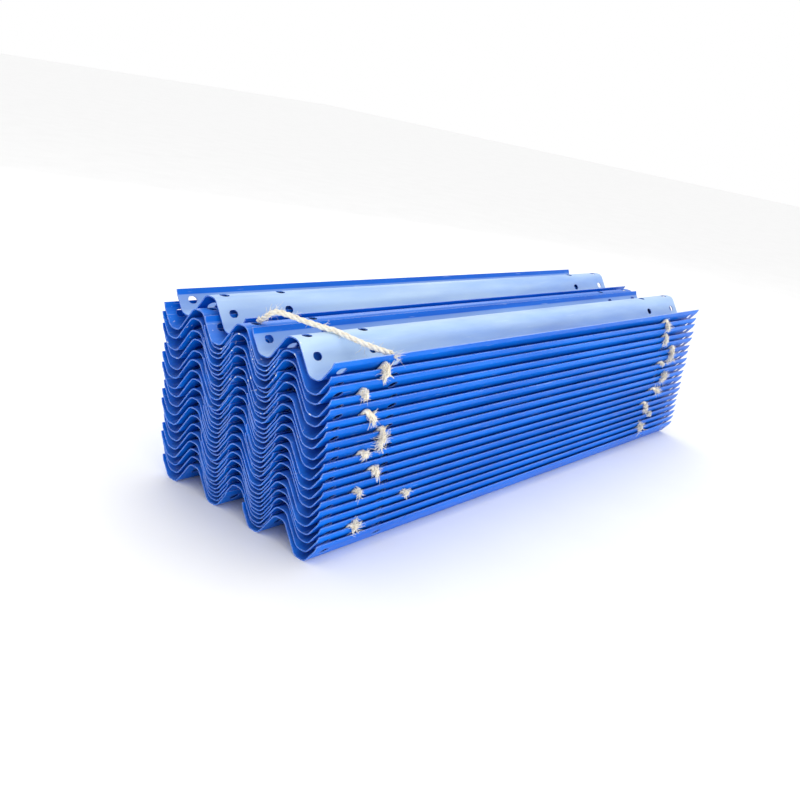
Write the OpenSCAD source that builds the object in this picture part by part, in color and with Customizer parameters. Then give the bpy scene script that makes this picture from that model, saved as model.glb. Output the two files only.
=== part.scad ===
/* [Rail] */
// Length of one rail
rail_length = 2320; // [2000:20:4320]
// Overall width of one rail, edge to edge
rail_width = 310; // [290:1:340]
// Overall depth of the wave
rail_depth = 85; // [75:1:95]
// Thickness of the sheet
sheet_t = 3; // [2:0.5:5]
// Distance between the two troughs of one rail
trough_spacing = 192; // [180:1:210]
// Slope of the wave, from level
wave_angle = 55; // [45:1:60]
// Inside radius of the crest and trough bends
bend_r = 24; // [14:1:28]

/* [Edge lip] */
// Length of the straight lip along each outer edge
lip_length = 16; // [10:1:22]
// Slope of the lip, from level
lip_angle = 70; // [62:1:80]
// Inside radius of the bend below the lip
lip_r = 10; // [6:1:14]

/* [Splice holes] */
// Length of a splice slot
slot_length = 32; // [24:1:40]
// Width of a splice slot
slot_width = 24; // [16:1:28]
// From the end of the rail to the first row of slots
end_to_slots = 50; // [40:1:80]
// From the first row of slots to the second
slot_row_spacing = 220; // [120:1:260]
// From the outer edge, along the sheet, to the flange slots
edge_to_slot = 36; // [30:1:44]

/* [Stack] */
// Number of layers that have two rails side by side
pair_layers = 19; // [2:1:19]
// Clearance left between two pieces that touch
seat_gap = 0.3; // [0.1:0.1:0.6]
// How far the bottom rails sit to the right of the top ones
lean = 60; // [0:5:100]
// Largest extra shift of one rail along its length
scatter = 5; // [0:1:12]
// Extra shift of the far rail on top
far_top_setback = 40; // [0:5:80]

/* [Rope] */
// Thickness of the folded rope in the highest gap
rope_d = 18; // [12:1:22]
// Thickness it is pressed to in the lowest gap
low_rope_d = 11; // [8:1:16]
// Length of rope that stands out past the edge of a rail
rope_tail = 14; // [6:1:40]
// Diameter of the loose rope on top
loose_rope_d = 14; // [8:1:16]

/* [Hidden] */
$fn = 48;
chord_angle = 11;
rail_blue = [0.07, 0.33, 0.78];
straw = [0.86, 0.76, 0.58];

// Radii of the middle of the sheet, and the straight runs between the bends
mid_r = bend_r + sheet_t / 2;
lip_mid_r = lip_r + sheet_t / 2;
wave_height = rail_depth - sheet_t;
web = (wave_height - 2 * mid_r * (1 - cos(wave_angle))) / sin(wave_angle);
flat = trough_spacing / 2 - 2 * mid_r * sin(wave_angle) - web * cos(wave_angle);
lip_out = lip_mid_r * (sin(lip_angle) - sin(wave_angle)) + lip_length * cos(lip_angle);
lip_up = lip_mid_r * (cos(wave_angle) - cos(lip_angle)) + lip_length * sin(lip_angle);
flange_out = (rail_width - trough_spacing) / 2 - sheet_t / 2 * sin(lip_angle);
flange = (flange_out - flat / 2 - mid_r * sin(wave_angle) - lip_out) / cos(wave_angle);

// A walk over half a rail, from the middle crest outwards. Each step is
// [length, turn, radius]: a straight run, or a bend where turn isn't zero.
crest_bend = [[flat / 2, 0, 0], [0, -wave_angle, mid_r]];
to_mid_web = concat(crest_bend, [[web / 2, 0, 0]]);
to_flange = concat(crest_bend, [
    [web, 0, 0],
    [0, wave_angle, mid_r],
    [flat, 0, 0],
    [0, wave_angle, mid_r]
]);
to_lip = concat(to_flange, [[flange, 0, 0]]);
half_rail = concat(to_lip, [[0, lip_angle - wave_angle, lip_mid_r], [lip_length, 0, 0]]);
lip_bend_length = lip_mid_r * (lip_angle - wave_angle) * PI / 180;
flange_slot_at = flange + lip_bend_length + lip_length - edge_to_slot;

// The lips stand in the slope of the rail above and hold it up. In every second
// gap down from the top, rope holds up the pair above where it needs more space.
lip_rise = lip_up - lip_out * tan(wave_angle)
    + sheet_t / 2 * (cos(lip_angle) + sin(lip_angle) * tan(wave_angle));
lip_pitch = lip_rise + (sheet_t / 2 + seat_gap) / cos(wave_angle);
top_gap = pair_layers - 2;
function roped(i) = (top_gap - i) % 2 == 0;
function rope_at(i) = rope_d - (rope_d - low_rope_d) * (top_gap - i) / max(1, top_gap);
function rope_gap(i) = (rope_at(i) + sheet_t + 2 * seat_gap) / cos(wave_angle);
function gap_above(i) = max(2 * lip_pitch, roped(i) ? rope_gap(i) : 0);
function pair_z(i) = i == 0 ? 0 : pair_z(i - 1) + gap_above(i - 1);
top_z = pair_z(pair_layers - 1);

// Shifts along the length, repeatable and between -1 and 1 before scaling
function wander(k) = sin(137 * k + 40);
function pair_shift(i, side) = lean * (1 - i / (pair_layers - 1)) + scatter * wander(2 * i + side)
    + (i == pair_layers - 1 && side > 0 ? far_top_setback : 0);
function middle_shift(i) = lean * (1 - (i + 0.5) / (pair_layers - 1)) + scatter * wander(5 * i + 3);
all_shifts = concat(
    [for (i = [0:pair_layers - 1]) each [pair_shift(i, -1), pair_shift(i, 1)]],
    [for (i = [0:pair_layers - 2]) middle_shift(i)]
);
left_end = -rail_length / 2 - (min(all_shifts) + max(all_shifts)) / 2;

// Where the rope pieces lie, from the left end of the bundle, top piece first
near_left_at = [190, 120, 150, 230, 160, 220, 170, 390, 170];
near_right_at = [340, 300, 190, 270, 190, 280, 330, 250, 300];
far_left_at = [250, 170, 210, 140, 300, 180, 240, 160, 210];
far_right_at = [280, 350, 230, 300, 210, 330, 260, 220, 290];

// The loose rope: [from the left end, across from the middle, above the top troughs]
loose_route = [
    [67, 12, 68], [66, 4, 68], [62, -16, 79], [60, -34, 95], [63, -52, 107], [70, -72, 110],
    [80, -96, 108], [94, -124, 104], [111, -152, 100], [130, -178, 96], [149, -204, 93],
    [167, -231, 85], [186, -259, 77], [205, -287, 70], [223, -313, 65], [237, -337, 62]
];
loose_sides = 10;

function two_digits(n) = n < 10 ? str("0", n) : str(n);
function pair_name(i) = str("rail_pair_", two_digits(i + 1));
function middle_name(i) = str("middle_rail_", two_digits(i + 1));

// Where a walk ends, when it starts at a point with a heading
function walk_end(steps, at, heading, i = 0) = i == len(steps) ? at :
    walk_end(steps, at + turned_by(step_end(steps[i], 1), heading), heading + steps[i][1], i + 1);

// The point a share of the way through one step, when it starts at the origin along X
function step_end(step, share) = step[1] == 0
    ? [share * step[0], 0]
    : step[2] * [sin(abs(step[1]) * share), sign(step[1]) * (1 - cos(step[1] * share))];
function turned_by(p, angle) = [
    p[0] * cos(angle) - p[1] * sin(angle),
    p[0] * sin(angle) + p[1] * cos(angle)
];

// Points along a walk, at a distance to its left, with each bend in short chords
function beside(steps, off, at, heading, i = 0) = i == len(steps) ? [] :
    let (step = steps[i], chords = step[1] == 0 ? 1 : ceil(abs(step[1]) / chord_angle))
    let (spots = [for (k = [i == 0 ? 0 : 1:chords]) let (way = heading + step[1] * k / chords)
        at + turned_by(step_end(step, k / chords), heading) + off * [-sin(way), cos(way)]])
    concat(spots,
        beside(steps, off, at + turned_by(step_end(step, 1), heading), heading + step[1], i + 1));

function reversed(points) = [for (k = [len(points) - 1:-1:0]) points[k]];
function flipped(points) = [for (k = [1:len(points) - 1]) [-points[k][0], points[k][1]]];

// Puts a profile that lies across the rail into place, and gives it length along X
module along_x(length) {
    rotate([90, 0, 90]) linear_extrude(length) children();
}

module slot() {
    straight = slot_length - slot_width;
    square([straight, slot_width], center = true);
    for (x = [-straight / 2, straight / 2]) translate([x, 0]) circle(d = slot_width);
}

// The five slots across the sheet at one distance from the end
module slot_row() {
    depth = 8 * sheet_t;
    for (half = [0, 1]) mirror([0, half, 0])
    for (place = [[to_mid_web, 0, -wave_angle], [to_flange, flange_slot_at, wave_angle]])
        walk_to(place[0], place[1], place[2]) slot_cutter(depth);
    translate([0, 0, rail_depth - sheet_t / 2]) slot_cutter(depth);
}

// Moves children to a point on the sheet, square to it
module walk_to(steps, further, slope) {
    at = walk_end(steps, [0, rail_depth - sheet_t / 2], 0);
    translate([0, at[0] + further * cos(slope), at[1] + further * sin(slope)])
    rotate([slope, 0, 0]) children();
}

module slot_cutter(depth) {
    translate([0, 0, -depth / 2]) linear_extrude(depth) slot();
}

// The outline of the sheet, across the rail
module rail_outline() {
    crest = [0, rail_depth - sheet_t / 2];
    above = beside(half_rail, sheet_t / 2, crest, 0);
    below = beside(half_rail, -sheet_t / 2, crest, 0);
    polygon(concat(reversed(flipped(above)), above, reversed(below), flipped(below)));
}

// One rail, from x = 0, with its outer troughs on z = 0
module rail() {
    rows = [end_to_slots, end_to_slots + slot_row_spacing];
    difference() {
        along_x(rail_length) rail_outline();
        for (row = rows, x = [row, rail_length - row]) translate([x, 0, 0]) slot_row();
    }
}

// Two rails side by side, the near one and the far one
module rail_pair(i) {
    color(rail_blue)
    for (side = [-1, 1])
        translate([left_end + pair_shift(i, side), side * trough_spacing, pair_z(i)]) rail();
}

// The rail that lies on the inner lips of one pair, below the next pair
module middle_rail(i) {
    color(rail_blue)
    translate([left_end + middle_shift(i), 0, pair_z(i) + lip_pitch]) rail();
}

// One rope piece in a gap this high: over the outer half of a rail, then out past
// its lip. It fills the gap on the slopes, and is pressed thinner over the lip.
module rope_piece(gap) {
    crest = rail_depth - sheet_t / 2;
    held = flange - gap / 2 * sin(wave_angle) - seat_gap;
    steps = concat([[0, -wave_angle, mid_r], [flat / 2, 0, 0]], to_flange, [[held, 0, 0]]);
    start = [-flat / 2, crest + gap / 2] - mid_r * [sin(wave_angle), 1 - cos(wave_angle)];
    half_t = (gap * cos(wave_angle) - sheet_t) / 2 - seat_gap;
    above = beside(steps, half_t, start, wave_angle);
    below = beside(steps, -half_t, start, wave_angle);
    tail_low = lip_rise * cos(wave_angle) + seat_gap;
    tail_high = gap * cos(wave_angle) - sheet_t / 2 - seat_gap;
    tail_t = tail_high - tail_low;
    tail_z = (tail_high + tail_low) / 2 / cos(wave_angle);
    flange_start = walk_end(to_flange, [0, crest + tail_z], 0);
    along_x(rope_d) polygon(concat(above, reversed(below)));
    along_x(rope_d) translate(flange_start) rotate(wave_angle)
        translate([held / 2, -tail_t / 2]) square([flange - held / 2 + rope_tail, tail_t]);
}

// The rope pieces of one corner, top piece first
module rope_corner(side, places, from_right) {
    color(straw)
    for (n = [0:len(places) - 1]) {
        layer = top_gap - 2 * n;
        x = from_right ? rail_length - places[n] : places[n];
        if (layer >= 0)
            translate([left_end + x, side * trough_spacing, pair_z(layer)])
            mirror([0, side < 0 ? 1 : 0, 0]) rope_piece(gap_above(layer));
    }
}

// A tube with one ring of corners at each point of a route
module tube(route, d, sides) {
    last = len(route) - 1;
    rings = [for (i = [0:last])
        let (ahead = route[min(i + 1, last)] - route[max(i - 1, 0)])
        let (along = ahead / norm(ahead))
        let (flat_side = cross(along, [0, 0, 1]))
        let (across = flat_side / norm(flat_side))
        let (up = cross(across, along))
        [for (k = [0:sides - 1])
            route[i] + d / 2 * (cos(360 * k / sides) * across + sin(360 * k / sides) * up)]];
    walls = [for (i = [0:last - 1], k = [0:sides - 1])
        let (a = i * sides + k, b = i * sides + (k + 1) % sides)
        each [[a, b, b + sides], [a, b + sides, a + sides]]];
    first_cap = [for (k = [sides - 1:-1:0]) k];
    last_cap = [for (k = [0:sides - 1]) last * sides + k];
    polyhedron([for (ring = rings) each ring], concat(walls, [first_cap, last_cap]));
}

module loose_rope() {
    color(straw) translate([left_end, 0, top_z]) tube(loose_route, loose_rope_d, loose_sides);
}

for (i = [0:pair_layers - 1]) rail_pair(i);
for (i = [0:pair_layers - 2]) middle_rail(i);
rope_corner(-1, near_left_at, false);  // near_left_ropes
rope_corner(-1, near_right_at, true);  // near_right_ropes
rope_corner(1, far_left_at, false);  // far_left_ropes
rope_corner(1, far_right_at, true);  // far_right_ropes
loose_rope();
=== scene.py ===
import math
import random

import bmesh
import bpy
from mathutils import Matrix, Vector
from mathutils.bvhtree import BVHTree


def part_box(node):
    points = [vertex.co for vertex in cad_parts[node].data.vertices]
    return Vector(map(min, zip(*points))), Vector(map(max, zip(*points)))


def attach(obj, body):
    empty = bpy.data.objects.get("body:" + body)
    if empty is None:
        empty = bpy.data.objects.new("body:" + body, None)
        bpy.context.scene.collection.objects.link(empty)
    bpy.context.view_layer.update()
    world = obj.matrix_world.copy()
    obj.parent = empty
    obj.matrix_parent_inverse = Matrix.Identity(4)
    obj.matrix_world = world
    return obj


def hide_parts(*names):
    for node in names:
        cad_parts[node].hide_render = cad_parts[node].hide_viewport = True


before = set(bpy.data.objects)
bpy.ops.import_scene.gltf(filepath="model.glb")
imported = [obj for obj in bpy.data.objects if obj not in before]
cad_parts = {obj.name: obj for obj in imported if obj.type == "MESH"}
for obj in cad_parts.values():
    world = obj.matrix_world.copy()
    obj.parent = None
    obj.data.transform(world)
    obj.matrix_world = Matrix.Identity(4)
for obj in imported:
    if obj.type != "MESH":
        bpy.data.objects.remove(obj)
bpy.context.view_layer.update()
print("stage: frame loaded,", len(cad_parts), "nodes")

fullTurn = 2 * math.pi
weldDistance = 1e-5  # metres, points of one sheet or rope closer than this are the same point

# Camera: place in metres, turns in degrees, lens in millimetres
shot = {
    "place": (-2.886, -1.831, 1.262),
    "yaw": -53.32,
    "pitch": 72.05,
    "roll": 10.84,
    "lens": 42.37,
}


def makeCamera(s):
    turn = (
        Matrix.Rotation(math.radians(s["yaw"]), 4, "Z")
        @ Matrix.Rotation(math.radians(s["pitch"]), 4, "X")
        @ Matrix.Rotation(math.radians(s["roll"]), 4, "Z")
    )
    camera = bpy.data.objects.new("camera", bpy.data.cameras.new("camera"))
    camera.data.lens = s["lens"]
    camera.matrix_world = Matrix.Translation(s["place"]) @ turn
    bpy.context.collection.objects.link(camera)
    bpy.context.scene.camera = camera


makeCamera(shot)
print("stage: camera placed")


# Small helpers for node trees: a value, or the output of another node, goes on each input
def addNode(tree, kind, inputs=None, **settings):
    node = tree.nodes.new(kind)
    for name, value in settings.items():
        setattr(node, name, value)
    for name, value in (inputs or {}).items():
        feed(tree, node.inputs[name], value)
    return node


def feed(tree, socket, value):
    if isinstance(value, bpy.types.NodeSocket):
        tree.links.new(value, socket)
    else:
        socket.default_value = value


def calc(tree, operation, first, second=0.0, third=0.0):
    values = {0: first, 1: second, 2: third}
    return addNode(tree, "ShaderNodeMath", values, operation=operation).outputs[0]


def calcVector(tree, operation, first, second=None, scale=None):
    values = {0: first}
    if second is not None:
        values[1] = second
    if scale is not None:
        values["Scale"] = scale
    node = addNode(tree, "ShaderNodeVectorMath", values, operation=operation)
    return node.outputs["Value" if operation == "DOT_PRODUCT" else "Vector"]


def joinVector(tree, x=0.0, y=0.0, z=0.0):
    return addNode(tree, "ShaderNodeCombineXYZ", {0: x, 1: y, 2: z}).outputs[0]


def splitVector(tree, vector):
    return addNode(tree, "ShaderNodeSeparateXYZ", {0: vector}).outputs


# The value goes from low to high while it runs from fromLow to fromHigh
def spread(tree, value, low, high, fromLow=0.0, fromHigh=1.0, **settings):
    values = {0: value, 1: fromLow, 2: fromHigh, 3: low, 4: high}
    return addNode(tree, "ShaderNodeMapRange", values, **settings).outputs[0]


def noiseAt(tree, place, scale, detail):
    values = {"Vector": place, "Scale": scale, "Detail": detail}
    return addNode(tree, "ShaderNodeTexNoise", values).outputs


def newTree(name, kind, inputs, outputs):
    tree = bpy.data.node_groups.new(name, kind)
    for side, sockets in (("INPUT", inputs), ("OUTPUT", outputs)):
        for label, shape, *start in sockets:
            kindOfSocket = "NodeSocket" + shape
            socket = tree.interface.new_socket(label, in_out=side, socket_type=kindOfSocket)
            if start:
                socket.default_value = start[0]
    given = tree.nodes.new("NodeGroupInput").outputs
    return tree, given, tree.nodes.new("NodeGroupOutput").inputs


# Shader groups that several finishes share. Wear shows at corners, where the rounded normal
# leaves the true one. A pale film lies where the surface faces up: partly dust, partly a
# painted sky sheen that stands in for the light the tops catch.
wear = {
    "samples": 6,
    "flat": 0.995,
    "corner": 0.86,
    "noiseDetail": 4.0,
    "unworn": 0.75,
    "fade": 0.2,
}
dustAndSheenShape = {
    "steep": 0.36,
    "level": 0.60,
    "noiseDetail": 6.0,
    "patchFrom": 0.3,
    "patchTo": 0.7,
    "thinnest": 0.45,
}


def makeEdgeWearGroup(s):
    tree, given, result = newTree(
        "edgeWear",
        "ShaderNodeTree",
        [("Width", "Float", 0.001), ("Amount", "Float", 0.5), ("Breakup", "Float", 60.0)],
        [("Mask", "Float")],
    )
    bevel = addNode(tree, "ShaderNodeBevel", {"Radius": given["Width"]}, samples=s["samples"])
    rounded = bevel.outputs["Normal"]
    true = addNode(tree, "ShaderNodeNewGeometry").outputs["Normal"]
    likeness = calcVector(tree, "DOT_PRODUCT", rounded, true)
    corner = spread(tree, likeness, 0.0, 1.0, s["flat"], s["corner"])
    place = addNode(tree, "ShaderNodeTexCoord").outputs["Object"]
    noise = noiseAt(tree, place, given["Breakup"], s["noiseDetail"])["Fac"]
    low = calc(tree, "SUBTRACT", s["unworn"], given["Amount"])
    patches = spread(tree, noise, 0.0, 1.0, low, calc(tree, "ADD", low, s["fade"]))
    feed(tree, result["Mask"], calc(tree, "MULTIPLY", corner, patches))
    return tree


def makeDustAndSheenGroup(s):
    tree, given, result = newTree(
        "dustAndSheenFilm",
        "ShaderNodeTree",
        [("Amount", "Float", 0.5), ("Patches", "Float", 9.0), ("Streaks", "Float", 0.1)],
        [("Mask", "Float")],
    )
    normal = addNode(tree, "ShaderNodeNewGeometry").outputs["Normal"]
    upward = splitVector(tree, normal)["Z"]
    # Painted sheen and dust: the more a surface faces up, the more pale film it gets.
    lying = spread(
        tree, upward, 0.0, 1.0, s["steep"], s["level"], interpolation_type="SMOOTHSTEP"
    )
    place = addNode(tree, "ShaderNodeTexCoord").outputs["Object"]
    stretched = calcVector(tree, "MULTIPLY", place, joinVector(tree, given["Streaks"], 1.0, 1.0))
    noise = noiseAt(tree, stretched, given["Patches"], s["noiseDetail"])["Fac"]
    patches = spread(tree, noise, s["thinnest"], 1.0, s["patchFrom"], s["patchTo"])
    dustAndSheen = calc(tree, "MULTIPLY", lying, patches)
    feed(tree, result["Mask"], calc(tree, "MULTIPLY", dustAndSheen, given["Amount"]))
    return tree


def makeGrainGroup():
    tree, given, result = newTree(
        "fineGrain",
        "ShaderNodeTree",
        [
            ("Scale", "Float", 300.0),
            ("Stretch", "Vector", (1.0, 1.0, 1.0)),
            ("Detail", "Float", 3.0),
        ],
        [("Value", "Float")],
    )
    place = addNode(tree, "ShaderNodeTexCoord").outputs["Object"]
    stretched = calcVector(tree, "MULTIPLY", place, given["Stretch"])
    noise = noiseAt(tree, stretched, given["Scale"], given["Detail"])["Fac"]
    feed(tree, result["Value"], noise)
    return tree


edgeWear, dustAndSheenFilm, fineGrain = makeEdgeWearGroup(wear), makeDustAndSheenGroup(dustAndSheenShape), makeGrainGroup()


def useGroup(tree, group, values, output):
    node = addNode(tree, "ShaderNodeGroup", node_tree=group)
    for name, value in values.items():
        feed(tree, node.inputs[name], value)
    return node.outputs[output]


def mixColour(tree, factor, first, second, how="MIX"):
    values = {0: factor, 6: first, 7: second}
    return addNode(tree, "ShaderNodeMix", values, data_type="RGBA", blend_type=how).outputs[2]


def bumpFrom(tree, height, strength, distance, normal=None):
    values = {"Height": height, "Strength": strength, "Distance": distance}
    if normal is not None:
        values["Normal"] = normal
    return addNode(tree, "ShaderNodeBump", values).outputs["Normal"]


def newFinish(name):
    finish = bpy.data.materials.new(name)
    finish.use_nodes = True
    return finish, finish.node_tree, finish.node_tree.nodes["Principled BSDF"].inputs


# Straw: each stalk has its own tone, with fine streaks along it
straw = {
    "pale": (0.95, 0.90, 0.78, 1.0),
    "middle": (0.84, 0.74, 0.57, 1.0),
    "brown": (0.36, 0.25, 0.14, 1.0),
    "brownAt": 0.12,
    "middleAt": 0.36,
    "paleAt": 0.70,
    "patches": {"Scale": 70.0, "Detail": 4.0},
    "streaks": {"Scale": 900.0, "Detail": 5.0},
    "patchShare": 0.7,
    "toneShare": 0.65,
    "streakTones": (0.78, 1.08),
    "streakRange": (0.3, 0.7),
    "roughness": (0.62, 0.9),
    "bumpStrength": 0.5,
    "bumpHeight": 0.0006,
    "sheen": 0.25,
    "sheenRoughness": 0.5,
}


def makeStraw(s):
    finish, tree, surface = newFinish("strawRope")
    tone = addNode(tree, "ShaderNodeAttribute", attribute_name="stalkTone").outputs["Fac"]
    patches = useGroup(tree, fineGrain, s["patches"], "Value")
    streaks = useGroup(tree, fineGrain, s["streaks"], "Value")
    ownTone = calc(tree, "MULTIPLY", tone, s["toneShare"])
    shade = calc(tree, "MULTIPLY_ADD", patches, s["patchShare"], ownTone)
    ramp = addNode(tree, "ShaderNodeValToRGB", {0: shade})
    stops = ramp.color_ramp.elements
    stops[0].position, stops[0].color = s["brownAt"], s["brown"]
    stops[1].position, stops[1].color = s["paleAt"], s["pale"]
    stops.new(s["middleAt"]).color = s["middle"]
    darker = spread(tree, streaks, *s["streakTones"], *s["streakRange"])
    colour = mixColour(tree, 1.0, ramp.outputs[0], darker, "MULTIPLY")
    feed(tree, surface["Base Color"], colour)
    feed(tree, surface["Roughness"], spread(tree, streaks, *s["roughness"]))
    feed(tree, surface["Normal"], bumpFrom(tree, streaks, s["bumpStrength"], s["bumpHeight"]))
    surface["Sheen Weight"].default_value = s["sheen"]
    surface["Sheen Roughness"].default_value = s["sheenRoughness"]
    return finish


strawRope = makeStraw(straw)


# Helpers that both rope trees use
def readAttribute(tree, name, kind="FLOAT"):
    values = {"Name": name}
    return addNode(tree, "GeometryNodeInputNamedAttribute", values, data_type=kind).outputs[
        "Attribute"
    ]


# Noise that goes from -0.5 to 0.5 on each axis
def jitterAt(tree, place, scale, detail):
    noise = noiseAt(tree, place, scale, detail)["Color"]
    return calcVector(tree, "SUBTRACT", noise, (0.5, 0.5, 0.5))


def moveBy(tree, geometry, offset):
    values = {"Geometry": geometry, "Offset": offset}
    return addNode(tree, "GeometryNodeSetPosition", values).outputs[0]


def storeTone(tree, geometry, tone, domain):
    values = {"Geometry": geometry, "Name": "stalkTone", "Value": tone}
    return addNode(
        tree, "GeometryNodeStoreNamedAttribute", values, data_type="FLOAT", domain=domain
    ).outputs[0]


def roundProfile(tree, sides, radius):
    values = {"Resolution": sides, "Radius": radius}
    return addNode(tree, "GeometryNodeCurvePrimitiveCircle", values).outputs[0]


def sweepAndFinish(tree, curve, profile, scale, finish, output):
    values = {"Curve": curve, "Profile Curve": profile, "Scale": scale, "Fill Caps": True}
    solid = addNode(tree, "GeometryNodeCurveToMesh", values).outputs[0]
    smooth = addNode(tree, "GeometryNodeSetShadeSmooth", {"Geometry": solid}).outputs[0]
    real = addNode(tree, "GeometryNodeRealizeInstances", {"Geometry": smooth}).outputs[0]
    values = {"Geometry": real, "Material": finish}
    feed(tree, output, addNode(tree, "GeometryNodeSetMaterial", values).outputs[0])


# One Geometry Nodes tree lays twisted strands of stalks along a path. The path's points carry
# layAngle, the turn of the strands, opening, how far they have come apart, and girth, their size.
layShape = {
    "stalksOpen": 0.7,  # how much the stalks spread in their strand while the strands come apart
    "noiseScale": 60.0,
    "noiseDetail": 2.0,
    "noiseGain": 2.0,
    "noiseShift": (1.0, 0.37, 0.61),  # the noise moves by this much from one stalk to the next
    "rougherOpen": 5.0,
    "stalkSizes": (0.8, 1.15),
    "sizeSeed": 7.0,
    "sides": 6,
}


def makeLayTree(s):
    tree, given, result = newTree(
        "laidStrands",
        "GeometryNodeTree",
        [
            ("Path", "Geometry"),
            ("Strands", "Int", 2),
            ("Stalks", "Int", 6),
            ("Strand Radius", "Float", 0.003),
            ("Stalk Ring", "Float", 0.0026),
            ("Stalk Radius", "Float", 0.0017),
            ("Stalk Twist", "Float", 1.7),
            ("Spacing", "Float", 0.005),
            ("Roughness", "Float", 0.0005),
            ("Across", "Vector", (1.0, 0.0, 0.0)),
            ("Seed", "Int", 1),
            ("Finish", "Material"),
        ],
        [("Rope", "Geometry")],
    )
    line = addNode(tree, "GeometryNodeMeshToCurve", {"Mesh": given["Path"]}).outputs[0]
    values = {"Curve": line, "Length": given["Spacing"]}
    even = addNode(tree, "GeometryNodeResampleCurve", values, mode="LENGTH").outputs[0]
    values = {"Geometry": even, "Amount": calc(tree, "MULTIPLY", given["Strands"], given["Stalks"])}
    copies = addNode(tree, "GeometryNodeDuplicateElements", values, domain="SPLINE").outputs

    number = copies["Duplicate Index"]
    strand = calc(tree, "MODULO", number, given["Strands"])
    stalk = calc(tree, "FLOOR", calc(tree, "DIVIDE", number, given["Strands"]))
    lay = readAttribute(tree, "layAngle")
    opening = readAttribute(tree, "opening")
    girth = readAttribute(tree, "girth")

    strandPlace = calc(tree, "MULTIPLY", strand, fullTurn)
    strandPlace = calc(tree, "DIVIDE", strandPlace, given["Strands"])
    strandTurn = calc(tree, "ADD", lay, strandPlace)
    stalkPlace = calc(tree, "DIVIDE", calc(tree, "MULTIPLY", stalk, fullTurn), given["Stalks"])
    backTwist = calc(tree, "MULTIPLY", given["Stalk Twist"], -1.0)
    stalkTurn = calc(tree, "ADD", calc(tree, "MULTIPLY", lay, backTwist), stalkPlace)
    stalkTurn = calc(tree, "ADD", stalkTurn, strand)

    looser = calc(tree, "MULTIPLY", girth, calc(tree, "ADD", opening, 1.0))
    strandOut = calc(tree, "MULTIPLY", given["Strand Radius"], looser)
    wider = calc(tree, "MULTIPLY_ADD", opening, s["stalksOpen"], 1.0)
    stalkOut = calc(tree, "MULTIPLY", given["Stalk Ring"], calc(tree, "MULTIPLY", girth, wider))

    tangent = addNode(tree, "GeometryNodeInputTangent").outputs[0]
    upright = calcVector(tree, "CROSS_PRODUCT", tangent, given["Across"])
    upright = calcVector(tree, "NORMALIZE", upright)
    level = calcVector(tree, "CROSS_PRODUCT", upright, tangent)
    parts = []
    for direction, wave in ((level, "COSINE"), (upright, "SINE")):
        strandReach = calc(tree, "MULTIPLY", calc(tree, wave, strandTurn), strandOut)
        stalkReach = calc(tree, "MULTIPLY", calc(tree, wave, stalkTurn), stalkOut)
        reach = calc(tree, "ADD", strandReach, stalkReach)
        parts.append(calcVector(tree, "SCALE", direction, scale=reach))
    place = calcVector(tree, "ADD", *parts)

    position = addNode(tree, "GeometryNodeInputPosition").outputs[0]
    seeded = calc(tree, "ADD", number, given["Seed"])
    shift = calcVector(tree, "SCALE", s["noiseShift"], scale=seeded)
    shifted = calcVector(tree, "ADD", position, shift)
    jitter = jitterAt(tree, shifted, s["noiseScale"], s["noiseDetail"])
    rougher = calc(tree, "MULTIPLY_ADD", opening, s["rougherOpen"], 1.0)
    loose = calc(tree, "MULTIPLY", given["Roughness"], rougher)
    ragged = calcVector(tree, "SCALE", jitter, scale=calc(tree, "MULTIPLY", loose, s["noiseGain"]))
    placed = moveBy(tree, copies["Geometry"], calcVector(tree, "ADD", place, ragged))

    values = {"ID": number, "Seed": given["Seed"]}
    tone = addNode(tree, "FunctionNodeRandomValue", values, data_type="FLOAT").outputs[1]
    toned = storeTone(tree, placed, tone, "CURVE")
    thinnest, thickest = s["stalkSizes"]
    sizeSeed = calc(tree, "ADD", given["Seed"], s["sizeSeed"])
    values = {2: thinnest, 3: thickest, "ID": number, "Seed": sizeSeed}
    size = addNode(tree, "FunctionNodeRandomValue", values, data_type="FLOAT").outputs[1]
    ring = roundProfile(tree, s["sides"], given["Stalk Radius"])
    scale = calc(tree, "MULTIPLY", size, girth)
    sweepAndFinish(tree, toned, ring, scale, given["Finish"], result["Rope"])
    return tree


# A second tree grows loose straws from points. Each point carries outward, the way they go,
# and reach, how long they are. No straw goes further to either side than Side Limit.
strawShape = {
    "bowPoints": 5,
    "bowMiddle": (0.0, 0.0, 0.55),
    "bowEnd": (0.38, 0.0, 0.92),
    "shortest": 0.35,
    "darkest": 0.2,
    "noiseScale": 45.0,
    "noiseDetail": 1.0,
    "noiseGain": 4.0,
    "sides": 4,
    "flatness": 0.45,
    "taper": 0.65,
}


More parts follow.
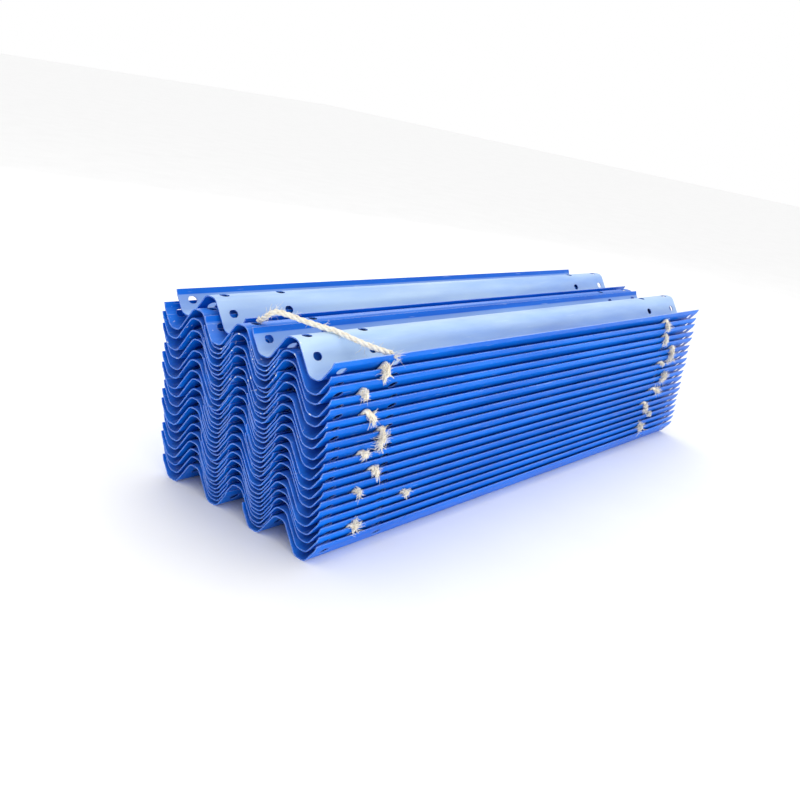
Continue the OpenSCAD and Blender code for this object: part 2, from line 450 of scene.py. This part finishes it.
def makeStrawTree(s):
    tree, given, result = newTree(
        "looseStraws",
        "GeometryNodeTree",
        [
            ("Roots", "Geometry"),
            ("Count", "Int", 40),
            ("Width", "Float", 0.0011),
            ("Scatter", "Float", 0.006),
            ("Spread", "Vector", (0.6, 0.6, 0.6)),
            ("Curl", "Float", 0.25),
            ("Side Limit", "Float", 0.376),
            ("Seed", "Int", 3),
            ("Finish", "Material"),
        ],
        [("Straws", "Geometry")],
    )
    values = {"Geometry": given["Roots"], "Amount": given["Count"]}
    copies = addNode(tree, "GeometryNodeDuplicateElements", values, domain="POINT").outputs[
        "Geometry"
    ]

    def chance(low, high, seedStep):
        values = {2: low, 3: high, "Seed": calc(tree, "ADD", given["Seed"], seedStep)}
        return addNode(tree, "FunctionNodeRandomValue", values, data_type="FLOAT").outputs[1]

    def anyWay(seedStep):
        low, high = (-1.0, -1.0, -1.0), (1.0, 1.0, 1.0)
        values = {0: low, 1: high, "Seed": calc(tree, "ADD", given["Seed"], seedStep)}
        return addNode(
            tree, "FunctionNodeRandomValue", values, data_type="FLOAT_VECTOR"
        ).outputs[0]

    roots = moveBy(tree, copies, calcVector(tree, "SCALE", anyWay(1.0), scale=given["Scatter"]))
    outward = readAttribute(tree, "outward", "FLOAT_VECTOR")
    astray = calcVector(tree, "MULTIPLY", anyWay(2.0), given["Spread"])
    values = {"Vector": calcVector(tree, "ADD", outward, astray)}
    turned = addNode(tree, "FunctionNodeAlignRotationToVector", values, axis="Z").outputs[0]
    values = {"Rotation": turned, "Rotate By": joinVector(tree, z=chance(0.0, fullTurn, 3.0))}
    spun = addNode(tree, "FunctionNodeRotateRotation", values, rotation_space="LOCAL").outputs[0]
    reach = readAttribute(tree, "reach")
    long = calc(tree, "MULTIPLY", reach, chance(s["shortest"], 1.0, 4.0))

    values = {
        "Resolution": s["bowPoints"],
        "Start": (0.0, 0.0, 0.0),
        "Middle": s["bowMiddle"],
        "End": s["bowEnd"],
    }
    bow = addNode(tree, "GeometryNodeCurveQuadraticBezier", values).outputs[0]
    values = {"Points": roots, "Instance": bow, "Rotation": spun, "Scale": long}
    standing = addNode(tree, "GeometryNodeInstanceOnPoints", values).outputs[0]
    toned = storeTone(tree, standing, chance(s["darkest"], 1.0, 5.0), "INSTANCE")
    lines = addNode(tree, "GeometryNodeRealizeInstances", {"Geometry": toned}).outputs[0]

    share = addNode(tree, "GeometryNodeSplineParameter").outputs["Factor"]
    length = addNode(tree, "GeometryNodeSplineLength").outputs["Length"]
    position = addNode(tree, "GeometryNodeInputPosition").outputs[0]
    jitter = jitterAt(tree, position, s["noiseScale"], s["noiseDetail"])
    amount = calc(tree, "MULTIPLY", calc(tree, "MULTIPLY", share, length), given["Curl"])
    amount = calc(tree, "MULTIPLY", amount, s["noiseGain"])
    bent = moveBy(tree, lines, calcVector(tree, "SCALE", jitter, scale=amount))

    parts = splitVector(tree, addNode(tree, "GeometryNodeInputPosition").outputs[0])
    otherLimit = calc(tree, "MULTIPLY", given["Side Limit"], -1.0)
    inside = calc(tree, "MINIMUM", parts["Y"], given["Side Limit"])
    inside = calc(tree, "MAXIMUM", inside, otherLimit)
    values = {"Geometry": bent, "Position": joinVector(tree, parts["X"], inside, parts["Z"])}
    drawnIn = addNode(tree, "GeometryNodeSetPosition", values).outputs[0]

    values = {
        "Geometry": roundProfile(tree, s["sides"], given["Width"]),
        "Scale": (1.0, s["flatness"], 1.0),
    }
    flatBlade = addNode(tree, "GeometryNodeTransform", values).outputs[0]
    taper = calc(tree, "SUBTRACT", 1.0, calc(tree, "MULTIPLY", share, s["taper"]))
    sweepAndFinish(tree, drawnIn, flatBlade, taper, given["Finish"], result["Straws"])
    return tree


layTree, strawTree = makeLayTree(layShape), makeStrawTree(strawShape)


def growPiece(name, source, tree, values):
    holder = bpy.data.objects.new(name + "Source", source)
    bpy.context.collection.objects.link(holder)
    maker = holder.modifiers.new("make", "NODES")
    maker.node_group = tree
    given = {"Finish": strawRope, **values}
    for item in tree.interface.items_tree:
        if item.in_out == "INPUT" and item.name in given:
            maker[item.identifier] = given[item.name]
    seen = holder.evaluated_get(bpy.context.evaluated_depsgraph_get())
    piece = bpy.data.objects.new(name, bpy.data.meshes.new_from_object(seen))
    bpy.data.objects.remove(holder)
    bpy.context.collection.objects.link(piece)
    piece.data.name = name
    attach(piece, "root")
    return piece


def pathMesh(name, lines):
    mesh = bpy.data.meshes.new(name)
    points, edges = [], []
    for line in lines:
        first = len(points)
        points += [p["at"] for p in line]
        edges += [(first + i, first + i + 1) for i in range(len(line) - 1)]
    mesh.from_pydata(points, edges, [])
    for label in ("layAngle", "opening", "girth"):
        values = mesh.attributes.new(label, "FLOAT", "POINT")
        values.data.foreach_set("value", [p[label] for line in lines for p in line])
    return mesh


def rootMesh(name, roots):
    mesh = bpy.data.meshes.new(name)
    mesh.from_pydata([r["at"] for r in roots], [], [])
    outward = mesh.attributes.new("outward", "FLOAT_VECTOR", "POINT")
    outward.data.foreach_set("vector", [x for r in roots for x in r["outward"]])
    reach = mesh.attributes.new("reach", "FLOAT", "POINT")
    reach.data.foreach_set("value", [r["reach"] for r in roots])
    return mesh


# A curve through the points, with each stretch cut into steps
def smoothLine(points, steps):
    points = [Vector(p) for p in points]
    padded = [2 * points[0] - points[1], *points, 2 * points[-1] - points[-2]]
    line = []
    for before, start, end, after in zip(padded, padded[1:], padded[2:], padded[3:]):
        for k in range(steps):
            t = k / steps
            pull = end - before
            push = 2 * before - 5 * start + 4 * end - after
            turn = 3 * start - before - 3 * end + after
            line.append(0.5 * (2 * start + pull * t + push * t * t + turn * t**3))
    return line + [points[-1]]


def lengthsAlong(line):
    run = [0.0]
    for a, b in zip(line, line[1:]):
        run.append(run[-1] + (b - a).length)
    return run


# The loose rope on top. Its route is from the left end, across from the middle and above the
# top troughs, in metres. Three tufts of straws stand at its right end.
looseRope = {
    "leftEnd": -1.191,
    "topTrough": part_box("rail_pair_19")[0].z,
    "route": [
        (0.067, 0.012, 0.068), (0.066, 0.004, 0.068), (0.062, -0.016, 0.079),
        (0.060, -0.034, 0.095), (0.063, -0.052, 0.107), (0.070, -0.072, 0.110),
        (0.080, -0.096, 0.108), (0.094, -0.124, 0.104), (0.111, -0.152, 0.100),
        (0.130, -0.178, 0.096), (0.149, -0.204, 0.093), (0.167, -0.231, 0.085),
        (0.186, -0.259, 0.077), (0.205, -0.287, 0.070), (0.223, -0.313, 0.065),
        (0.237, -0.337, 0.062),
    ],
    "steps": 5,
    "diameter": 0.014,
    "girth": 1.08,
    "turnLength": 0.062,
    "openFrom": 0.78,
    "openTo": 0.3,
    "openPower": 1.5,
    "lay": {
        "Strands": 3,
        "Strand Radius": 0.0035,
        "Across": (0.0, 0.0, 1.0),
        "Spacing": 0.004,
        "Roughness": 0.0006,
        "Seed": 5,
    },
    "straws": {
        "Count": 5,
        "Width": 0.0008,
        "Scatter": 0.005,
        "Spread": (0.35, 0.35, 0.35),
        "Curl": 0.35,
        "Seed": 21,
    },
    "strawSeed": 11,
    "strawReach": 0.045,
    "strawShares": (0.4, 1.0),
    "strawAstray": 0.8,
    "strawLift": 0.3,
    "tuftWays": [(0.5, 0.0, 0.1), (-0.3, 0.1, 0.2), (0.1, 0.0, -0.1)],
    "tuftRoots": 3,
    "tuftBack": 0.004,
}


def makeLooseRope(s):
    start = Vector((s["leftEnd"], 0, s["topTrough"]))
    line = smoothLine([start + Vector(p) for p in s["route"]], s["steps"])
    run = lengthsAlong(line)
    path = []
    for at, far in zip(line, run):
        free = max(0.0, (far / run[-1] - s["openFrom"]) / (1 - s["openFrom"]))
        opening = free ** s["openPower"] * s["openTo"]
        turn = fullTurn * far / s["turnLength"]
        path.append({"at": at, "layAngle": turn, "opening": opening, "girth": s["girth"]})
    rope = growPiece("looseRope", pathMesh("looseRopePath", [path]), layTree, s["lay"])
    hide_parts("loose_rope")

    chance = random.Random(s["strawSeed"])
    reach, astray = s["strawReach"], s["strawAstray"]
    roots = []
    for k in range(2, len(line) - 1, 2):
        ahead = (line[min(k + 2, len(line) - 1)] - line[k]).normalized()
        out = ahead + Vector([chance.uniform(-astray, astray) for _ in range(3)])
        out += Vector((0, 0, s["strawLift"]))
        own = reach * chance.uniform(*s["strawShares"])
        roots.append({"at": line[k], "outward": out, "reach": own})
    end = (line[-1] - line[-3]).normalized()
    tuftAt = line[-1] - s["tuftBack"] * end
    for way in s["tuftWays"]:
        root = {"at": tuftAt, "outward": end + Vector(way), "reach": reach}
        roots += [root] * s["tuftRoots"]
    roots = rootMesh("looseRopeRoots", roots)
    straws = growPiece("looseRopeStraws", roots, strawTree, s["straws"])
    return run[-1]


print("stage: loose rope laid, %.3f m" % makeLooseRope(looseRope))

# Rope pieces between the layers, one group a corner. For each piece, top one first: where its
# end hangs from the edge, as metres along and up, and how far its straws reach. Taper is the
# share by which the rope gets thinner towards its end.
cornerRopes = {
    "near_left_ropes": {
        "name": "nearLeftRope",
        "ends": [
            (0.004, -0.024, 0.034), (0.004, -0.014, 0.020), (0.026, -0.024, 0.026),
            (0.000, -0.036, 0.044), (0.010, -0.010, 0.022), (0.014, -0.014, 0.026),
            (0.000, -0.008, 0.020), (0.006, -0.004, 0.020), (0.016, -0.004, 0.030),
        ],
        "seed": 31,
        "taper": 0.2,
    },
    "near_right_ropes": {
        "name": "nearRightRope",
        "ends": [
            (0.030, -0.034, 0.030), (0.000, -0.030, 0.022), (-0.012, -0.040, 0.044),
            (0.006, -0.010, 0.012), (-0.022, -0.018, 0.040), (0.036, -0.012, 0.030),
            (0.020, -0.030, 0.026), (-0.006, -0.010, 0.012), (-0.014, -0.006, 0.034),
        ],
        "seed": 47,
        "taper": 0.5,
    },
    "far_left_ropes": {
        "name": "farLeftRope",
        "ends": [
            (0.010, -0.020, 0.030), (-0.014, -0.018, 0.036), (0.018, -0.030, 0.026),
            (0.006, 0.018, 0.024), (-0.016, -0.022, 0.040), (0.010, -0.018, 0.022),
            (0.020, -0.028, 0.036), (-0.008, -0.016, 0.028), (0.012, -0.018, 0.030),
        ],
        "seed": 59,
        "taper": 0.3,
    },
    "far_right_ropes": {
        "name": "farRightRope",
        "ends": [
            (-0.018, -0.022, 0.036), (0.012, -0.016, 0.024), (-0.006, -0.034, 0.044),
            (0.016, -0.020, 0.028), (-0.012, 0.020, 0.026), (0.008, -0.026, 0.040),
            (-0.020, -0.018, 0.024), (0.014, -0.020, 0.034), (0.004, -0.016, 0.028),
        ],
        "seed": 73,
        "taper": 0.3,
    },
}
ropeLay = {
    "slices": 34,
    "sliceFrom": 0.04,  # the first slice, as a share of the way from the inner to the outer end
    "sliceSpan": 0.94,
    "castMargin": 0.001,
    "pressedShare": 0.9,
    "everySlice": 3,  # one slice in so many becomes a point of the route
    "tailStep": 0.003,
    "hang": [(0.35, 0.006), (0.75, 0.009), (1.0, 0.007)],  # share of the hang, metres outward
    "steps": 4,
    "turnLength": 0.060,
    "freeAfter": 0.02,
    "freeTurn": 1.2,
    "openTo": 0.9,
    "openPower": 1.5,
    "taperSpeed": 1.5,
    "fullThickness": 0.0142,
    "lay": {
        "Strand Radius": 0.0031,
        "Stalk Ring": 0.0026,
        "Stalk Radius": 0.0017,
        "Spacing": 0.006,
        "Roughness": 0.0006,
    },
    "straws": {
        "Count": 32,
        "Width": 0.0015,
        "Scatter": 0.007,
        "Spread": (1.1, 0.35, 1.0),
        "Curl": 0.4,
    },
    # Tufts: points back from the tip, share of the reach, how much they stand up
    "tufts": [(1, 1.0, 0.0), (5, 0.85, 0.0), (9, 0.6, 0.0), (7, 0.7, 1.2)],
    "tuftAstray": 0.6,
    "tuftOutward": 0.1,
    "tipPull": 0.7,
    "tipOutward": 0.2,
}


def islandsOf(node):
    joined = bmesh.new()
    joined.from_mesh(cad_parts[node].data)
    bmesh.ops.remove_doubles(joined, verts=joined.verts, dist=weldDistance)
    left, islands = set(joined.verts), []
    while left:
        found, edge = set(), [left.pop()]
        while edge:
            vertex = edge.pop()
            found.add(vertex)
            near = {e.other_vert(vertex) for e in vertex.link_edges} & left
            left -= near
            edge += near
        islands.append([list(v.co) for v in found])
    tree = BVHTree.FromBMesh(joined)
    joined.free()
    islands.sort(key=lambda points: -max(p[2] for p in points))
    return tree, islands


# The middle line of a rope solid, found by feeling it from below and from above in slices
def middleLine(tree, points, s):
    low = [min(p[k] for p in points) for k in range(3)]
    high = [max(p[k] for p in points) for k in range(3)]
    x = (low[0] + high[0]) / 2
    bottom, top = low[2] - s["castMargin"], high[2] + s["castMargin"]
    reach = high[2] - low[2] + 2 * s["castMargin"]
    outside = high[1] > abs(low[1])
    inner, outer = (low[1], high[1]) if outside else (high[1], low[1])
    line = []
    for k in range(s["slices"] + 1):
        y = inner + (outer - inner) * (s["sliceFrom"] + s["sliceSpan"] * k / s["slices"])
        under = tree.ray_cast(Vector((x, y, bottom)), Vector((0, 0, 1)), reach)[0]
        over = tree.ray_cast(Vector((x, y, top)), Vector((0, 0, -1)), reach)[0]
        if under is None or over is None:
            continue
        line.append({"at": (under + over) / 2, "deep": over.z - under.z})
    for k, point in enumerate(line):
        ahead = line[min(k + 1, len(line) - 1)]["at"] - line[max(k - 1, 0)]["at"]
        point["thick"] = point["deep"] * abs(ahead.y) / max(ahead.length, 1e-9)
    return line, 1 if outside else -1


def makeCorner(node, corner, s):
    tree, islands = islandsOf(node)
    chance = random.Random(corner["seed"])
    lines, roots = [], []
    for points, (along, up, reach) in zip(islands, corner["ends"]):
        line, side = middleLine(tree, points, s)
        full = line[len(line) // 2]["thick"]
        thin = s["pressedShare"] * full
        pressed = [k for k, p in enumerate(line) if p["thick"] < thin and k > len(line) / 2]
        tail = line[-1]["at"]
        way = (tail - line[-4]["at"]).normalized()
        drop, out = Vector((along, 0, up)), Vector((0, side, 0))
        hang = [tail + share * drop + outward * out for share, outward in s["hang"]]
        inside = [p["at"] for p in line[:: s["everySlice"]]] + [tail + s["tailStep"] * way]
        kept = smoothLine(inside + hang, s["steps"])
        run = lengthsAlong(kept)

        startPress = line[pressed[0]]["at"] if pressed else tail
        nearest = min(range(len(kept)), key=lambda k: (kept[k] - startPress).length)
        held, end = run[nearest], run[-1]
        path = []
        for at, far in zip(kept, run):
            turn = min(0.0, (far - held) / s["turnLength"]) * fullTurn
            free = (far - held - s["freeAfter"]) / max(end - held - s["freeAfter"], 1e-6)
            free = max(0.0, free)
            taper = 1 - corner["taper"] * min(1.0, free * s["taperSpeed"])
            path.append({
                "at": at,
                "layAngle": turn + s["freeTurn"] * free,
                "opening": s["openTo"] * free ** s["openPower"],
                "girth": full / s["fullThickness"] * taper,
            })
        lines.append(path)

        tip = (kept[-1] - kept[-3]).normalized()
        pull = Vector((tip.x, s["tipOutward"] * tip.y, tip.z)) * s["tipPull"]
        spreadOut = s["tuftAstray"]
        for back, share, lift in s["tufts"]:
            sideways = chance.uniform(-spreadOut, spreadOut)
            upward = lift + chance.uniform(-spreadOut, spreadOut)
            outward = pull + Vector((sideways, s["tuftOutward"] * side, upward))
            roots.append({"at": kept[-back], "outward": outward, "reach": reach * share})
    values = {**s["lay"], "Seed": corner["seed"]}
    rope = growPiece(corner["name"], pathMesh(node + "Path", lines), layTree, values)
    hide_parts(node)
    values = {**s["straws"], "Seed": corner["seed"] + 1}
    growPiece(corner["name"] + "Straws", rootMesh(node + "Roots", roots), strawTree, values)


for node, corner in cornerRopes.items():
    makeCorner(node, corner, ropeLay)
print("stage: rope pieces between the layers made")

# Blue powder paint on the rails. The rails on top carry a pale film, partly dust and partly a
# painted sky sheen, which gets thin towards their outer edges.
paint = {
    "blue": (0.003, 0.170, 0.740, 1.0),
    "deepBlue": (0.002, 0.120, 0.600, 1.0),
    "paleDustSheenAndScuff": (0.58, 0.74, 0.84, 1.0),
    "zinc": (0.66, 0.72, 0.92, 1.0),
    "chip": (0.80, 0.86, 0.92, 1.0),
    "layers": {"Scale": 22.0, "Stretch": (0.12, 1.0, 1.0), "Detail": 5.0},
    "peel": {"Scale": 420.0, "Detail": 2.0},
    "waves": {"Scale": 5.0, "Stretch": (0.5, 1.0, 1.0), "Detail": 2.0},
    "scuffs": {"Scale": 160.0, "Stretch": (0.05, 1.0, 1.0), "Detail": 6.0},
    "flakes": {"Scale": 75.0, "Detail": 4.0},
    "dustAndSheen": {"Patches": 9.0, "Streaks": 0.16},
    "worn": {"Width": 0.0012, "Amount": 0.5, "Breakup": 55.0},
    "blueRange": (0.35, 0.65),
    "railMiddle": 0.192,  # the top rails' middle crests lie this far from the bundle's middle
    "filmFades": (0.112, 0.158),  # the pale film of dust and painted sheen gets thin between these distances from the crest
    "filmLeft": 0.35,  # the share of it that is left there
    "scuffRange": (0.66, 0.74),
    "scuffShare": 0.4,
    "chippedFrom": 1.155,
    "chipLimit": 0.66,
    "chipFade": 0.03,
    "chipDepth": -0.0004,
    "chipBump": 0.4,
    "wornMetal": 0.3,
    "roughness": (0.30, 0.46),
    "filmRoughness": 0.25,
    "softBump": 0.25,
    "peelHeight": 0.00025,
    "waveHeight": 0.003,
    "shine": 0.14,
    "coat": 0.03,
    "coatRoughness": 0.25,
    # Pale film per rail: much on the lit top rails, little on the middle rail and the lower rails,
    # which stay darker as painted shade.
    "dustAndSheenAmounts": {"rail_pair_19": 0.88, "middle_rail_18": 0.16},
    "plain": 0.06,
}


def makePaint(name, s, amount):
    finish, tree, surface = newFinish(name)
    layers, peel, waves, scuffs, flakes = [
        useGroup(tree, fineGrain, s[grain], "Value")
        for grain in ("layers", "peel", "waves", "scuffs", "flakes")
    ]
    place = splitVector(tree, addNode(tree, "ShaderNodeTexCoord").outputs["Object"])

    deeper = spread(tree, layers, 0.0, 1.0, *s["blueRange"])
    colour = mixColour(tree, deeper, s["deepBlue"], s["blue"])
    # Painted sheen: the pale colour on up-facing tops is partly dust and partly painted sky light,
    # broad on the crests and thin away from them.
    dustAndSheen = useGroup(tree, dustAndSheenFilm, {"Amount": amount, **s["dustAndSheen"]}, "Mask")
    fromCrest = calc(tree, "SUBTRACT", calc(tree, "ABSOLUTE", place["Y"]), s["railMiddle"])
    fromCrest = calc(tree, "ABSOLUTE", fromCrest)
    fade = spread(tree, fromCrest, 1.0, s["filmLeft"], *s["filmFades"])
    dustAndSheen = calc(tree, "MULTIPLY", dustAndSheen, fade)
    colour = mixColour(tree, dustAndSheen, colour, s["paleDustSheenAndScuff"])
    scratch = spread(tree, scuffs, 0.0, s["scuffShare"], *s["scuffRange"])
    colour = mixColour(tree, scratch, colour, s["paleDustSheenAndScuff"])
    worn = useGroup(tree, edgeWear, s["worn"], "Mask")
    colour = mixColour(tree, worn, colour, s["zinc"])
    chipMasks = [
        spread(tree, value, 0.0, 1.0, s[start], s[start] + s["chipFade"])
        for value, start in (
            (calc(tree, "ABSOLUTE", place["X"]), "chippedFrom"),
            (flakes, "chipLimit"),
        )
    ]
    chips = calc(tree, "MULTIPLY", *chipMasks)
    colour = mixColour(tree, chips, colour, s["chip"])
    feed(tree, surface["Base Color"], colour)

    feed(tree, surface["Metallic"], calc(tree, "MULTIPLY", worn, s["wornMetal"]))
    rough = spread(tree, layers, *s["roughness"])
    rough = calc(tree, "ADD", rough, calc(tree, "MULTIPLY", dustAndSheen, s["filmRoughness"]))
    feed(tree, surface["Roughness"], rough)
    normal = bumpFrom(tree, waves, s["softBump"], s["waveHeight"])
    normal = bumpFrom(tree, peel, s["softBump"], s["peelHeight"], normal)
    normal = bumpFrom(tree, chips, s["chipBump"], s["chipDepth"], normal)
    feed(tree, surface["Normal"], normal)
    surface["Specular IOR Level"].default_value = s["shine"]
    surface["Coat Weight"].default_value = s["coat"]
    surface["Coat Roughness"].default_value = s["coatRoughness"]
    return finish


# A modifier smooths the bends of each sheet and keeps its edges sharp. It moves no point.
def makeBendTree():
    tree, given, result = newTree(
        "softBends",
        "GeometryNodeTree",
        [("Sheet", "Geometry"), ("Sharp Above", "Float", 0.5)],
        [("Sheet", "Geometry")],
    )
    values = {"Geometry": given["Sheet"], "Distance": weldDistance}
    merged = addNode(tree, "GeometryNodeMergeByDistance", values).outputs[0]
    smooth = addNode(tree, "GeometryNodeSetShadeSmooth", {"Geometry": merged}).outputs[0]
    angle = addNode(tree, "GeometryNodeInputMeshEdgeAngle").outputs[0]
    values = {0: angle, 1: given["Sharp Above"]}
    sharp = addNode(tree, "FunctionNodeCompare", values, operation="GREATER_THAN").outputs[0]
    values = {"Geometry": smooth, "Selection": sharp, "Shade Smooth": False}
    kept = addNode(tree, "GeometryNodeSetShadeSmooth", values, domain="EDGE").outputs[0]
    feed(tree, result["Sheet"], kept)
    return tree


def dressRails(s, bends):
    plainPaint = makePaint("bluePaint", s, s["plain"])
    # Lit and shaded copies of one paint: the top rails get much painted sheen, the others little.
    dustAndSheenAmounts = {name: makePaint("dustAndSheenPaint", s, amount) for name, amount in s["dustAndSheenAmounts"].items()}
    for name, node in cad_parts.items():
        if not name.startswith(("rail_pair", "middle_rail")):
            continue
        finish = dustAndSheenAmounts.get(name, plainPaint)
        if not node.material_slots:
            node.data.materials.append(finish)
        for materialSlot in node.material_slots:
            materialSlot.material = finish
        node.modifiers.new("softBends", "NODES").node_group = bends


dressRails(paint, makeBendTree())
print("stage: rails painted")

# Floor, lights and surroundings: sizes and places in metres, power in watts
studio = {
    "floorSize": 60.0,
    "floorColour": (0.95, 0.95, 0.95, 1.0),
    "floorGrain": {"Scale": 3.0, "Detail": 6.0},
    "floorTones": (0.96, 1.02),
    "floorRoughness": 0.9,
    "air": (1.0, 1.0, 1.0, 1.0),
    "airStrength": 1.0,
    "lights": [
        {
            "name": "overhead",
            "place": (0.5, 0.5, 5.0),
            "aim": (0, 0, 0.3),
            "size": (5.0, 3.0),
            "power": 60.0,
        },
        {
            "name": "backSky",
            "place": (2.5, 4.5, 2.6),
            "aim": (0, 0, 0.5),
            "size": (6.0, 3.0),
            "power": 60.0,
        },
        {
            "name": "frontFill",
            "place": (-1.5, -4.5, 0.9),
            "aim": (-0.6, 0, 0.3),
            "size": (5.0, 1.2),
            "power": 95.0,
        },
    ],
}


def makeFloor(s):
    half = s["floorSize"] / 2
    corners = [(-half, -half, 0), (half, -half, 0), (half, half, 0), (-half, half, 0)]
    mesh = bpy.data.meshes.new("floor")
    mesh.from_pydata(corners, [], [(0, 1, 2, 3)])
    floor = bpy.data.objects.new("floor", mesh)
    bpy.context.collection.objects.link(floor)
    finish, tree, surface = newFinish("paleFloor")
    mottle = useGroup(tree, fineGrain, s["floorGrain"], "Value")
    tones = spread(tree, mottle, *s["floorTones"])
    feed(tree, surface["Base Color"], mixColour(tree, 1.0, s["floorColour"], tones, "MULTIPLY"))
    surface["Roughness"].default_value = s["floorRoughness"]
    mesh.materials.append(finish)


def makeLight(s):
    data = bpy.data.lights.new(s["name"], "AREA")
    data.shape = "RECTANGLE"
    data.size, data.size_y = s["size"]
    data.energy = s["power"]
    light = bpy.data.objects.new(s["name"], data)
    place = Vector(s["place"])
    turn = (Vector(s["aim"]) - place).to_track_quat("-Z", "Y").to_matrix().to_4x4()
    light.matrix_world = Matrix.Translation(place) @ turn
    light.visible_camera = False
    bpy.context.collection.objects.link(light)


def makeStudio(s):
    makeFloor(s)
    for light in s["lights"]:
        makeLight(light)
    world = bpy.data.worlds.new("air")
    world.use_nodes = True
    background = world.node_tree.nodes["Background"].inputs
    background["Color"].default_value = s["air"]
    background["Strength"].default_value = s["airStrength"]
    bpy.context.scene.world = world
    bpy.context.scene.view_settings.view_transform = "Standard"


makeStudio(studio)
print("stage: studio set")
